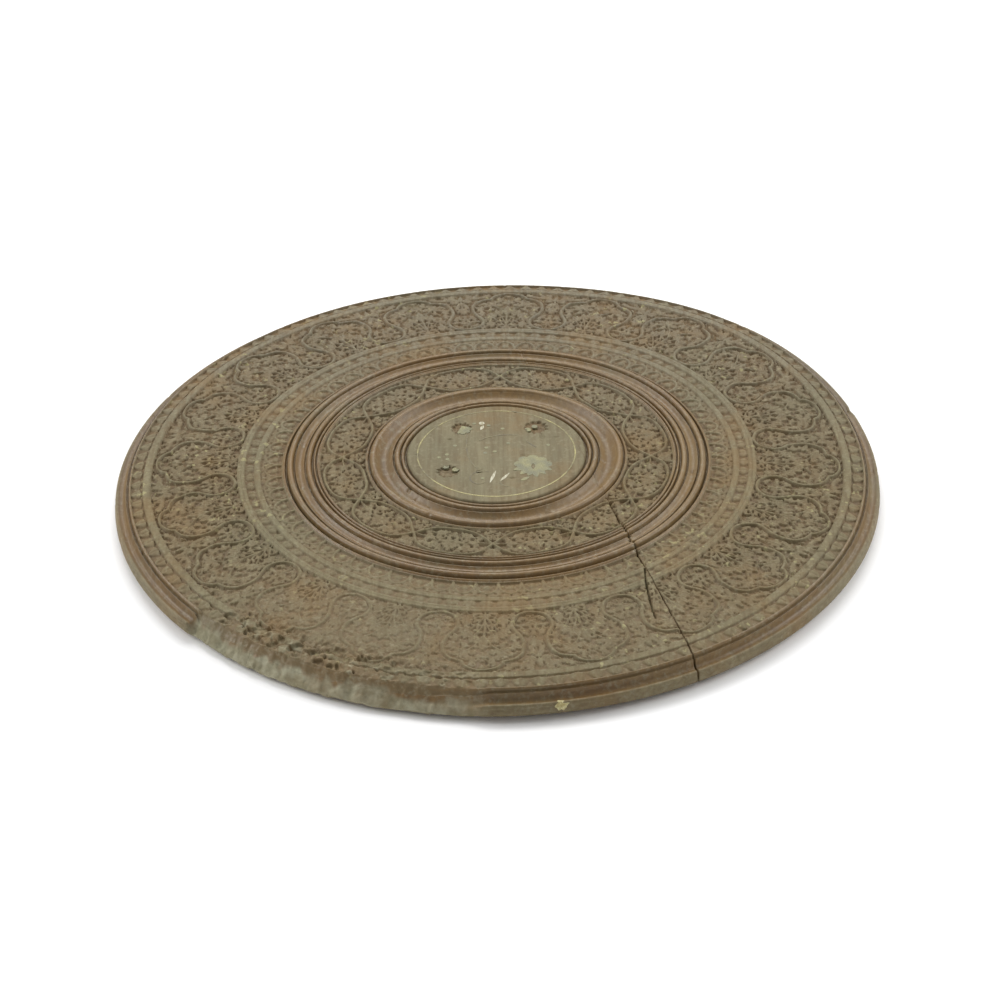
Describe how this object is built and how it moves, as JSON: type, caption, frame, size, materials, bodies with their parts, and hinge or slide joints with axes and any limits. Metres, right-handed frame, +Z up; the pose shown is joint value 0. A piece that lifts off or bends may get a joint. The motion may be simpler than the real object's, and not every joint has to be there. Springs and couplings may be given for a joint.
{
  "type": "carved tray disc",
  "caption": "Round carved hardwood tray disc with a low crown, moulded rings, a thin rolled rim, and a plain centre medallion inlaid with brass and bone.",
  "frame": {"origin": "on the turning axis, at the flat underside that the disc rests on", "axes": "+Z up along the turning axis; +Y away from the viewer; the glue joint runs roughly along Y on the +X side of the medallion"},
  "size_m": [0.46, 0.46, 0.0271],
  "materials": {
    "wood": "dry, worn and dusty old hardwood",
    "brass": "dull, tarnished",
    "bone": "satin bone",
    "filler": "matte pale filler"
  },
  "bodies": {
    "root": {"wide_board": "wood", "narrow_board": "wood", "rim_filler": "filler", "wire_ring": "brass", "vine_leaf": "brass", "vine_leaf_tip": "brass", "leaf_rest_far_left": "brass", "leaf_rest_far_right": "brass", "leaf_rest_near_left": "brass", "stem_main": "brass", "stem_arc": "brass", "stem_branch": "brass", "stem_scroll": "brass", "stem_sprig": "brass", "bone_petal_far": "bone", "bone_petal_near": "bone", "bone_sliver_long": "bone", "bone_sliver_short": "bone", "brass_dot_1": "brass", "brass_dot_2": "brass", "brass_dot_3": "brass", "brass_dot_4": "brass", "brass_dot_5": "brass", "brass_dot_6": "brass", "brass_dot_7": "brass", "brass_dot_8": "brass", "brass_dot_9": "brass", "brass_dot_10": "brass", "brass_dot_11": "brass", "brass_dot_12": "brass", "brass_dot_13": "brass"}
  },
  "joints": []
}
